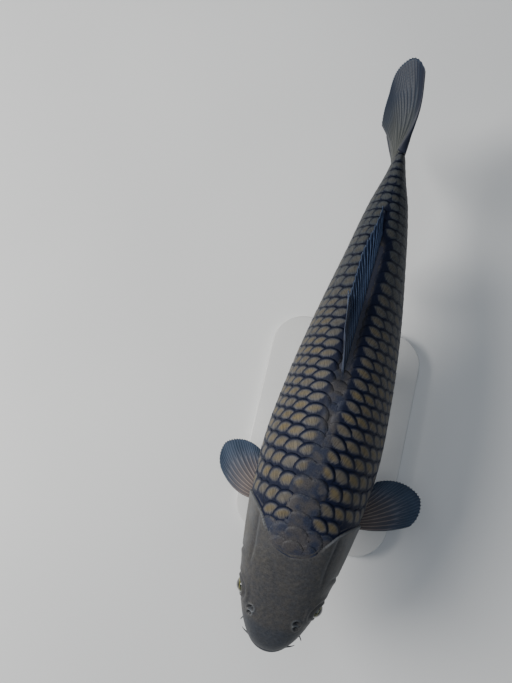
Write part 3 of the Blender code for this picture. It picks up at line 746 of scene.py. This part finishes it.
def scale_finish():
    finish = Finish("fish_scales", roughness=0.45, specular_ior_level=0.12)
    across, along = finish.chart("plate")
    rear, tone, clear, faint, life, belly = finish.layers("rear", "tone", "clear", "faint", "life", "belly")
    edge = (across * across + along * along) ** 0.5
    grain = finish.noise(900, 2, rough=0.6)
    cloud = finish.noise(160, 2)
    fan = across.maths("ARCTAN2", along + 0.9)
    rays = finish.noise(1.0, 2, finish.stretched(fan * 30, edge * 1.6, life * 40))
    ragged = (cloud - 0.5) * 0.26 + (rays - 0.5) * 0.34
    front = along - across * across * 0.80 + ragged + rear * 0.08
    centre = (edge + (rays - 0.5) * 0.18 - rear * 0.03).fade(0.90, 0.76)
    # The patch stops short of the plate lapping over it, which leaves a dark margin there: partly the net's own
    # dark, partly painted shade under that plate's free edge.
    centre = front.fade(0.09, 0.30) * centre * (clear * (rear + 1)).fade(0.0004, 0.0017)
    heart = edge.fade(0.86, 0.60) * (1 - life * 0.6) * (1 - rear * 0.7)
    heart = front.fade(0.12, 0.50) * heart * clear.fade(0.0010, 0.0040)
    bronze = rear.mix((0.070, 0.069, 0.073), (0.052, 0.060, 0.070))
    bronze = heart.mix(bronze, (0.114, 0.090, 0.050))
    bronze = bronze.tint(0.38 + grain * 0.70 + rays.fade(0.36, 0.62) * 0.50)
    net = rays.mix((0.003, 0.005, 0.017), (0.009, 0.013, 0.034))
    colour = centre.mix(net, bronze)
    # A dark rim round each plate: partly the net's own dark, partly painted shade at its free edge.
    rim = edge.fade(0.91, 0.96)
    colour = (rim * 0.85).mix(colour, (0.004, 0.006, 0.016))
    dull = finish.noise(75, 3).fade(0.35, 0.65)
    dull = dull.mix((0.026, 0.031, 0.052), (0.060, 0.056, 0.058))
    outline = edge.fade(0.80, 0.88) * edge.fade(0.97, 0.93) * grain.fade(0.42, 0.58)
    dull = (outline * 0.28).mix(dull, (0.085, 0.088, 0.088))
    dull = dull.tint(0.35 + grain * 1.3)
    colour = (faint + (cloud - 0.5) * 0.5).fade(0.22, 0.74).mix(colour, dull)
    silver = rim.mix((0.42, 0.40, 0.36), (0.12, 0.12, 0.13))
    colour = (belly * 0.8).mix(colour, silver)
    colour = colour.tint(tone)
    growth = (edge * 95 + grain * 1.5).maths("SINE")
    height = rays * 0.8 + growth * 0.10 + grain * 0.4
    return finish.surface(colour, 0.34 + grain * 0.2 + (1 - centre) * 0.06, height, 0.00025)


template = plate_template()
scales_finish = scale_finish()
laid = lay_rows()
groups = {}
for scale in laid:
    place, girth, side = scale[:3]
    band = "back" if girth < COAT_SIDE else "belly"
    middle = girth < 0.001 or girth > 0.999 * half_girth(place)
    flank = "middle" if middle else ("left" if side > 0 else "right")
    length = "front" if place < COAT_CUTS[0] else ("mid" if place < COAT_CUTS[1] else "rear")
    groups.setdefault(f"scales_{band}_{flank}_{length}", []).append(scale)

for name, members in groups.items():
    builder = bmesh.new()
    for _ in members:
        builder.from_mesh(template)
    points, across, along, where, round_body = place_plates(members, template)
    shape(builder, points.reshape(-1, 3))
    piece = show(name, builder, scales_finish)
    corners = face_corners(piece)
    spots = np.stack([across.ravel()[corners], along.ravel()[corners]], -1)
    member = corners // len(template.vertices)
    columns = math.ceil(math.sqrt(len(members)))
    cells = np.stack([member % columns, member // columns], -1)
    set_chart(piece, "OFBake", (cells + 0.5 + 0.46 * spots) / columns)
    set_chart(piece, "plate", spots)
    rear = rise(where, REAR_FROM, 0.40)
    beside_fin = rise(where, 0.50, 0.03) * (1 - rise(where, 0.82, 0.03)) * bump(round_body, 0.009)
    tone = (1 - 0.15 * bump(round_body, 0.014)) * (1 - REAR_DARKER * rear) * (1 - 0.45 * beside_fin)
    faint = np.array(members)[:, 6][:, None]
    set_layers(piece, rear=rear, tone=tone, clear=lapped(members, laid, where, round_body),
               faint=np.maximum(faint, crest_band(where, round_body)),
               life=np.repeat(chance.uniform(0, 1, len(members)), len(template.vertices)),
               belly=rise(np.abs(round_body) / half_girth(where), 0.62, 0.25))
    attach(piece, "root")


# ==== the eyes
# Glass-clear domes over a dark pupil and a narrow green-gold ring. Each sits low in its socket behind a soft
# rim of skin, and is the only glossy part of the fish.
EYE_SEGMENTS, EYE_RINGS = 64, 40
DOME_RISE, DOME_SPREAD = 0.045, 0.62  # the clear dome bulges this share more, over this spread of angle


def eye_finish():
    finish = Finish("polished_eye", roughness=0.06, coat_weight=1.0, coat_roughness=0.02)
    out, turn = finish.layers("from_axis", "turn")
    grain = finish.noise(2600, 2)
    wave = finish.noise(1.0, 3, finish.stretched(turn * 14, out * 3))
    ring = out.fade(0.345, 0.365) * (1 - out.fade(0.385, 0.43))
    iris = wave.fade(0.40, 0.70).mix((0.012, 0.015, 0.012), (0.110, 0.105, 0.045))
    iris = ring.mix(iris, (0.17, 0.16, 0.06))
    iris = out.fade(0.62, 0.70).mix(iris, (0.060, 0.066, 0.056))
    iris = iris.tint(0.75 + grain * 0.5)
    colour = out.fade(0.31, 0.345).mix((0.003, 0.003, 0.004), iris)
    return finish.surface(colour)


eye_polish = eye_finish()
for side, name in ((1, "left"), (-1, "right")):
    builder = bmesh.new()
    bmesh.ops.create_uvsphere(builder, u_segments=EYE_SEGMENTS, v_segments=EYE_RINGS, radius=EYE_RADIUS)
    from_axis, turns = [], []
    for corner in builder.verts:
        off = math.atan2(math.hypot(corner.co.x, corner.co.y), corner.co.z)
        from_axis.append(off / (math.pi / 2))
        turns.append(abs(math.atan2(corner.co.y, corner.co.x)) / math.pi)
        corner.co *= 1 + DOME_RISE * math.exp(-(off / DOME_SPREAD) ** 2)
    aim = Vector(eye_axis(side)).to_track_quat("Z", "Y").to_matrix()
    bmesh.ops.rotate(builder, verts=builder.verts, matrix=aim)
    bmesh.ops.translate(builder, verts=builder.verts, vec=Vector(eye_centre(side)))
    eye = show("koi_eye_" + name, builder, eye_polish)
    set_layers(eye, from_axis=from_axis, turn=turns)
    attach(eye, "root")
    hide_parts("eye_" + name)


# ==== the barbels
# Two short soft feelers on the upper lip and two longer ones at the mouth's corners, thick at the root and
# fine at the tip, grown out of the lip and dark grey like the snout.
# name, place, angle on the section, length, root radius, how far it points outward, pull of its free end
BARBELS = (("lip_barbel", 0.020, 0.10, 0.011, 0.0010, 0.65, (0.25, 0.30, -0.95)),
           ("corner_barbel", 0.044, -0.36, 0.017, 0.0014, 0.42, (0.10, -1.15, -1.10)))
BARBEL_STEPS, BARBEL_SIDES = 28, 14
BARBEL_SUNK, BARBEL_FLARE, BARBEL_TAPER = 0.08, 0.55, 0.72


def barbel_finish():
    finish = Finish("barbel_skin", roughness=0.5)
    grain = finish.noise(900, 2)
    colour = grain.fade(0.35, 0.65).mix((0.026, 0.031, 0.042), (0.060, 0.062, 0.062))
    return finish.surface(colour, None, grain, 0.0002)


barbel_paint = barbel_finish()
for label, place, angle, length, radius, out, pull in BARBELS:
    for side, name in ((1, "left"), (-1, "right")):
        root = Vector(body_point(place, angle if side > 0 else math.pi - angle))
        outward = (root - Vector(body_frame(place)[0])).normalized()
        drop = Vector((side * pull[0], *pull[1:]))
        first = outward.cross(drop).normalized()
        builder = bmesh.new()
        bmesh.ops.create_cone(builder, cap_ends=True, cap_tris=True, segments=BARBEL_SIDES, radius1=1,
                              radius2=1, depth=1)
        lengthwise = [e for e in builder.edges if abs(e.verts[0].co.z - e.verts[1].co.z) > 0.5]
        bmesh.ops.subdivide_edges(builder, edges=lengthwise, cuts=BARBEL_STEPS - 1, use_grid_fill=True)
        for corner in builder.verts:
            share = corner.co.z + 0.5
            path = root + (outward * (out * share - BARBEL_SUNK) + drop * (0.5 * share ** 2)) * length
            course = (outward * out + drop * share).normalized()
            second = course.cross(first)
            thick = radius * (1 + BARBEL_FLARE * math.exp(-share / 0.10)) * (1 - BARBEL_TAPER * share)
            thick *= math.sqrt(min(1.0, (1 - share) / 0.1))
            corner.co = path + (first * corner.co.x + second * corner.co.y) * thick
        bmesh.ops.recalc_face_normals(builder, faces=builder.faces)
        barbel = show("koi_" + label + "_" + name, builder, barbel_paint)
        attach(barbel, "root")
        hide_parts(label + "_" + name)


# ==== the tail fin
# Bony rays in a thin web. Each ray parts in two and again in four toward the rim, where the web between them
# is cut back a little. The fin grows thick out of the tail stalk and thins to under a millimetre at the rim.
TAIL_TIP, TAIL_NOTCH, TAIL_ROUNDING = 1.209, 1.112, 0.050    # places, and how far the tips are rounded off
TAIL_HALF_ROOT, TAIL_HALF_SPAN = 0.0330, 0.0680
# how far the upper and the lower lobe trail to the right, and how far the upper one leans back and bulges
TAIL_TRAIL, TAIL_TRAIL_LOW, TAIL_LEAN, TAIL_BULGE = 0.0262, 0.0215, 0.0320, 0.0070
TAIL_RAYS = 16
RIM_THICKNESS, RAY_HEIGHT = 0.0007, 0.00045
FIN_STEP = 0.002                     # the share of a fin over which its slope is read


def ray_ridges(ray, share, count, splits):
    """Height of the rays over the web, 0 to 1."""
    inside = ray * count - np.floor(ray * count) - 0.5
    apart = 0.25 * rise(share, splits[0], 0.35)
    again = 0.125 * rise(share, splits[1], 0.30)
    width = mix(0.25, 0.095, rise(share * 1.1))
    ridge = np.zeros(np.shape(inside))
    for first in (-1, 1):
        for second in (-1, 1):
            ridge = np.maximum(ridge, bump(inside - first * apart - second * again, width))
    return ridge


def fold_back(ray, share, lay):
    """The line of rays a spot lies on, where the rays of a folded fin are laid back along it."""
    return ray - lay * share * rise(ray, 0, 0.25)


def grow_fin(name, node, surface, rays, splits, root_thickness, taper, steps, finish, scallop=0.03,
             columns=9, lay=0.0):
    """A closed fin: one grid runs over its left face and back over its right, and they meet at the rim."""
    builder, grid = open_grid(rays * columns * 2, steps)
    face = np.where(grid[:, 0] < 0.5, 1.0, -1.0)
    ray, share = 1 - np.abs(2 * grid[:, 0] - 1), grid[:, 1]
    line = fold_back(ray, share, lay)
    ridge = ray_ridges(line, share, rays, splits)
    tips = ray_ridges(line, np.ones_like(share), rays, splits)
    reach = share * (1 - scallop * (1 - tips) * share ** 3)
    low_ray, high_ray = np.maximum(ray - FIN_STEP, 0), np.minimum(ray + FIN_STEP, 1)
    low, high = np.maximum(reach - FIN_STEP, 0), np.minimum(reach + FIN_STEP, 1.001)
    normal = np.cross(surface(high_ray, reach) - surface(low_ray, reach),
                      surface(ray, high) - surface(ray, low))
    normal /= np.maximum(np.linalg.norm(normal, axis=1, keepdims=True), 1e-12)
    rim = clamp(np.minimum(np.minimum(ray, 1 - ray) * rays / 0.45, (1 - share) / 0.02))
    root = clamp(share / 0.01)
    closing = np.sqrt(1 - (1 - rim) ** 2) * np.sqrt(1 - (1 - root) ** 2)
    web = np.maximum(RIM_THICKNESS, root_thickness * (1 - share) ** taper)
    thickness = (web + RAY_HEIGHT * (2 * ridge - 0.6) * rise(share, 0, 0.12)) * closing
    shape(builder, surface(ray, reach) + normal * (face * thickness / 2)[:, None])
    fin = show(name, builder, finish)
    corners = face_corners(fin)
    set_chart(fin, "OFBake", np.clip(grid, 0.001, 0.999)[corners])
    set_chart(fin, "web", np.stack([ray, share], -1)[corners])
    set_layers(fin, ridge=ridge)
    close_seams(fin)
    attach(fin, "root")
    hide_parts(node)


def tail_surface(ray, share):
    outward = 2 * ray - 1
    side = np.abs(outward)
    reach = mix(TAIL_NOTCH, TAIL_TIP, side ** 0.95) - TAIL_ROUNDING * clamp((side - 0.78) / 0.22) ** 3
    point = body_frame(TAIL_ROOT)[0]
    along = (reach - TAIL_ROOT) * BODY_LENGTH * share
    tip_height = np.sign(outward) * TAIL_HALF_SPAN * side ** 0.72
    height = mix(TAIL_HALF_ROOT * outward, tip_height, share ** 0.9)
    upper = clamp((outward - 0.4) / 0.6)
    trail = mix(TAIL_TRAIL, TAIL_TRAIL_LOW, clamp(-outward))
    across = (TAIL_LEAN * upper ** 2.2 - trail) * share ** 1.15 + TAIL_BULGE * upper * np.sin(math.pi * share)
    across = across + 0.0011 * np.sin(outward * 9 + 4 * share) * share ** 2
    return point + np.stack([across, along, height], -1)


def web_start(name, patches, detail, grains):
    """A fin's finish, and what its paint is mixed from: ray, share, ridge, patches and grain."""
    finish = Finish(name, roughness=0.45, specular_ior_level=0.25)
    return (finish, *finish.chart("web"), *finish.layers("ridge"), finish.noise(patches, detail),
            finish.noise(grains, 2))


def tail_finish():
    finish, ray, share, ridge, cloud, grain = web_start("tail_web", 60, 3, 800)
    joints = (share * 190 + cloud * 6).maths("SINE")
    leading = abs(ray - 0.5)
    outer = (share + leading * 0.7 + (cloud - 0.5) * 0.4).fade(0.25, 1.15)
    web = outer.mix((0.024, 0.028, 0.028), (0.003, 0.007, 0.020))
    bone = outer.mix((0.070, 0.072, 0.064), (0.009, 0.017, 0.034))
    colour = (ridge.fade(0.20, 0.80) * (0.5 + cloud * 0.8)).mix(web, bone)
    colour = (leading.fade(0.472, 0.485) * 0.9).mix(colour, (0.010, 0.013, 0.026))
    colour = (share.fade(0.97, 0.99) * 0.5).mix(colour, (0.025, 0.04, 0.07))
    colour = colour.tint(0.60 + grain * 0.45 + cloud * 0.35)
    height = ridge * 0.6 + joints * ridge * 0.12 * share.fade(0.25, 0.5) + grain * 0.2
    return finish.surface(colour, 0.40 + grain * 0.15, height, 0.0003)


grow_fin("koi_tail_fin", "tail_fin", tail_surface, TAIL_RAYS, (0.22, 0.55), 0.0100, 2.2, 90, tail_finish(),
         scallop=0.014, columns=8)


# ==== the dorsal fin
# Folded back along the ridge and fallen to the fish's right. A lobe of a few long rays leads, and the shorter
# ones behind lie in pleats with stepped tips. Dark blue web, paler grey-blue rays.
DORSAL_FROM, DORSAL_TO = 0.527, 0.835
DORSAL_LENGTH, DORSAL_LOBE = 0.037, 0.038          # of the rays, and how much longer those of the lobe are
DORSAL_LOBE_RAY, DORSAL_LOBE_WIDTH = 0.06, 0.16
# how far the rays rise from the back and lean over, in degrees: the first, the middle ones, less at the last
DORSAL_RISE, DORSAL_LEAN = (21, 25, 13), (27, 54, 24)
DORSAL_RAYS = 19
DORSAL_LAY = 0.13                    # how far along the fin a folded ray runs from root to tip
DORSAL_PLEAT, DORSAL_TIP_STEP = 0.0012, 0.10
ROOT_SUNK = 0.002


def dorsal_surface(ray, share):
    place = mix(DORSAL_FROM, DORSAL_TO, ray)
    root = body_point(place, math.pi / 2)
    back = body_point(place + 0.01, math.pi / 2) - root
    back /= np.linalg.norm(back, axis=-1, keepdims=True)
    left = body_frame(place)[2]
    front_lobe = bump(ray - DORSAL_LOBE_RAY, DORSAL_LOBE_WIDTH)
    length = DORSAL_LENGTH + DORSAL_LOBE * front_lobe * rise(ray, -0.025, 0.10)
    toward_middle, toward_last = rise(ray, 0, 0.4), rise(ray, 0.6, 0.4)
    raised = np.radians(mix(DORSAL_RISE[0], DORSAL_RISE[1], toward_middle) - DORSAL_RISE[2] * toward_last)
    lean = np.radians(mix(DORSAL_LEAN[0], DORSAL_LEAN[1], toward_middle) - DORSAL_LEAN[2] * toward_last)
    aside = UP * np.cos(lean)[..., None] - left * np.sin(lean)[..., None]
    direction = back * np.cos(raised)[..., None] + aside * np.sin(raised)[..., None]
    turn = fold_back(ray, share, DORSAL_LAY) * DORSAL_RAYS
    pleat = DORSAL_PLEAT * np.cos(2 * math.pi * turn) * rise(share, 0, 0.3) * (1 - 0.3 * share)
    step = 1 - DORSAL_TIP_STEP * share ** 2 * (turn % 1) * rise(ray, 0.2, 0.1)
    return (root - UP * ROOT_SUNK + direction * (length * share * step)[..., None]
            - left * (0.002 * share * share)[..., None] + np.cross(direction, left) * pleat[..., None])


def dark_finish():
    finish, ray, share, ridge, cloud, grain = web_start("dark_web", 90, 2, 900)
    web = ray.fade(0.15, 0.45).mix((0.008, 0.011, 0.022), (0.006, 0.013, 0.036))
    bone = ray.fade(0.02, 0.30).mix((0.056, 0.068, 0.104), (0.028, 0.046, 0.092))
    colour = (ridge.fade(0.30, 0.90) * (0.45 + cloud * 0.9)).mix(web, bone)
    colour = (share.fade(0.94, 0.99) * 0.6).mix(colour, (0.06, 0.08, 0.13))
    colour = colour.tint(0.75 + grain * 0.5)
    return finish.surface(colour, 0.38 + grain * 0.15, ridge * 0.6 + grain * 0.25, 0.0003)


dark_web = dark_finish()
grow_fin("koi_dorsal_fin", "dorsal_fin", dorsal_surface, DORSAL_RAYS, (0.55, 1.2), 0.0026, 2.2, 60, dark_web,
         scallop=0.05, columns=10, lay=DORSAL_LAY)


# ==== the paired fins and the anal fin
# Pectoral fins spread wide to steady the fish, bronze at the root and blue-grey at the rim; pelvic and anal
# fins folded back under the belly, dark. Each fans out from a short fleshy root.
# place, angle and width of the root, lengths of the first, longest and last ray
PECTORAL = (0.263, -0.66, 0.014, (0.071, 0.086, 0.045))
PELVIC = (0.500, -1.05, 0.012, (0.056, 0.062, 0.036))
# in degrees, the turns of the first and last ray, the bend of a ray and its droop
PECTORAL_SWEEP = {"left": (-6, 60, 18, 12), "right": (-25, 64, 43, 28)}
PELVIC_SWEEP = (52, 88, 8, 24)
LONGEST_RAY, FAN_RIPPLE = 0.35, 0.0012
PECTORAL_RAYS, PELVIC_RAYS, ANAL_RAYS = 12, 9, 7
ANAL_FROM, ANAL_TO, ANAL_LENGTHS, ANAL_FALL = 0.755, 0.825, (0.058, 0.026), (50, 30)


def fan_surface(side, fan, sweep):
    """The middle sheet of a fin whose rays fan out from a short root."""
    root_place, root_angle, root_width, (first, longest, last) = fan
    lead, trail, bend, fall = (math.radians(value) for value in sweep)

    def surface(ray, share):
        place = root_place + root_width * ray / BODY_LENGTH
        root = body_point(place, root_angle if side > 0 else math.pi - root_angle)
        inward = body_frame(place)[0] - root
        inward *= 0.003 / np.linalg.norm(inward, axis=-1, keepdims=True)
        turn = mix(lead, trail, ray) + bend * share * (1 - ray)
        ripple = FAN_RIPPLE * np.sin(ray * 17) * share ** 2
        direction = np.stack([side * np.cos(turn) * math.cos(fall), np.sin(turn) * math.cos(fall),
                              -math.sin(fall) * np.ones_like(turn)], -1)
        size = np.where(ray < LONGEST_RAY, mix(first, longest, 1 - (1 - ray / LONGEST_RAY) ** 2),
                        mix(longest, last, clamp((ray - LONGEST_RAY) / (1 - LONGEST_RAY)) ** 1.4))
        return (root + inward * (1 - share)[..., None] + direction * (size * share)[..., None]
                + UP * ripple[..., None])
    return surface


def anal_surface(ray, share):
    place = mix(ANAL_FROM, ANAL_TO, ray)
    root = body_point(place, -math.pi / 2)
    heading, left = body_frame(place)[1:]
    length = mix(*ANAL_LENGTHS, rise(ray)) * (0.82 + 0.18 * rise(ray, 0, 0.2))
    fall = np.radians(mix(*ANAL_FALL, ray))
    direction = heading * np.cos(fall)[..., None] - UP * np.sin(fall)[..., None]
    return (root + UP * ROOT_SUNK + direction * (length * share)[..., None]
            - left * (0.003 * share * share)[..., None])


def bronze_finish():
    finish, ray, share, ridge, cloud, grain = web_start("bronze_web", 70, 3, 900)
    bone = (share + cloud * 0.3).fade(0.45, 1.1)
    bone = bone.mix((0.175, 0.142, 0.126), (0.075, 0.098, 0.140))
    web = share.fade(0.2, 0.9).mix((0.074, 0.060, 0.058), (0.026, 0.042, 0.072))
    drawn = (ridge + (cloud - 0.5) * 0.5).fade(0.30, 0.90) * (1 - share.fade(0.45, 0.95) * 0.6)
    colour = drawn.mix(web, bone)
    colour = (ray.fade(0.035, 0.0) * 0.8).mix(colour, (0.030, 0.036, 0.050))
    colour = colour.tint(0.72 + grain * 0.3 + cloud * 0.3)
    return finish.surface(colour, 0.40 + grain * 0.15, ridge * 0.6 + grain * 0.2, 0.0003)


bronze_web = bronze_finish()
for side, name in ((1, "left"), (-1, "right")):
    spread = fan_surface(side, PECTORAL, PECTORAL_SWEEP[name])
    grow_fin("koi_pectoral_fin_" + name, "pectoral_fin_" + name, spread, PECTORAL_RAYS, (0.50, 1.4), 0.0050,
             1.6, 60, bronze_web, scallop=0.018)
    grow_fin("koi_pelvic_fin_" + name, "pelvic_fin_" + name, fan_surface(side, PELVIC, PELVIC_SWEEP),
             PELVIC_RAYS, (0.35, 0.68), 0.0036, 1.8, 48, dark_web)
grow_fin("koi_anal_fin", "anal_fin", anal_surface, ANAL_RAYS, (0.40, 0.75), 0.0032, 1.8, 48, dark_web)


# ==== the stand
# A flat board with round corners in pale satin lacquer, and two steel rods screwed into it through turned
# collars. The rods run up into the belly.
BASE_LENGTH, BASE_WIDTH, BASE_THICKNESS, BASE_CORNER, BASE_EDGE = 0.280, 0.190, 0.012, 0.040, 0.0016
ROD_RADIUS, COLLAR_RADIUS, COLLAR_HEIGHT, COLLAR_EDGE = 0.005, 0.0095, 0.008, 0.0010
ROD_PLACES = (("stand_rod_front", 0.300), ("stand_rod_rear", 0.600))
ROD_SUNK = 0.004


def lacquer_finish():
    finish = Finish("pale_satin_lacquer", roughness=0.35, coat_weight=0.35, coat_roughness=0.18)
    peel, cloud = finish.noise(260, 2), finish.noise(9, 3)
    colour = cloud.fade(0.35, 0.65).mix((0.62, 0.615, 0.60), (0.57, 0.565, 0.55))
    return finish.surface(colour, 0.30 + peel * 0.12, peel, 0.00012)


def steel_finish():
    finish = Finish("brushed_steel", roughness=0.30, metallic=1.0)
    lines = finish.noise(1.0, 2, finish.node("ShaderNodeMapping", None, {
        "Vector": finish.place(), "Scale": (60, 60, 4200)}))
    colour = lines.mix((0.46, 0.46, 0.47), (0.66, 0.66, 0.66))
    return finish.surface(colour, 0.22 + lines * 0.22, lines, 0.00008)


builder = bmesh.new()
bmesh.ops.create_cube(builder, size=1)
bmesh.ops.scale(builder, verts=builder.verts, vec=(BASE_WIDTH, BASE_LENGTH, BASE_THICKNESS))
bmesh.ops.translate(builder, verts=builder.verts, vec=(0, 0, BASE_THICKNESS / 2))
upright = [e for e in builder.edges if abs(e.verts[0].co.z - e.verts[1].co.z) > BASE_THICKNESS / 2]
bmesh.ops.bevel(builder, geom=upright, offset=BASE_CORNER, offset_type="OFFSET", segments=24, profile=0.5,
                affect="EDGES", material=-1)
rim = [e for e in builder.edges if min(v.co.z for v in e.verts) > BASE_THICKNESS * 0.9]
bmesh.ops.bevel(builder, geom=rim, offset=BASE_EDGE, offset_type="OFFSET", segments=4, profile=0.5,
                affect="EDGES", material=-1)
base = show("koi_stand_base", builder, lacquer_finish(), smooth_angle=40)
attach(base, "root")
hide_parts("stand_base")

steel = steel_finish()
for name, place in ROD_PLACES:
    foot = Vector(body_frame(place)[0])
    belly = float(body_point(place, -math.pi / 2)[2])
    collar_top = BASE_THICKNESS + COLLAR_HEIGHT
    profile = [(0, BASE_THICKNESS), (COLLAR_RADIUS, BASE_THICKNESS),
               (COLLAR_RADIUS, collar_top - COLLAR_EDGE), (COLLAR_RADIUS - COLLAR_EDGE, collar_top),
               (ROD_RADIUS, collar_top), (ROD_RADIUS, belly + ROD_SUNK), (0, belly + ROD_SUNK)]
    builder = bmesh.new()
    corners = [builder.verts.new((foot.x + radius, foot.y, height)) for radius, height in profile]
    edges = [builder.edges.new(pair) for pair in zip(corners, corners[1:])]
    bmesh.ops.spin(builder, geom=corners + edges, cent=(foot.x, foot.y, 0), axis=(0, 0, 1),
                   angle=2 * math.pi, steps=48, use_merge=True)
    bmesh.ops.remove_doubles(builder, verts=builder.verts, dist=0.00001)
    bmesh.ops.recalc_face_normals(builder, faces=builder.faces)
    rod = show("koi_" + name, builder, steel, smooth_angle=35)
    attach(rod, "root")
    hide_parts(name)
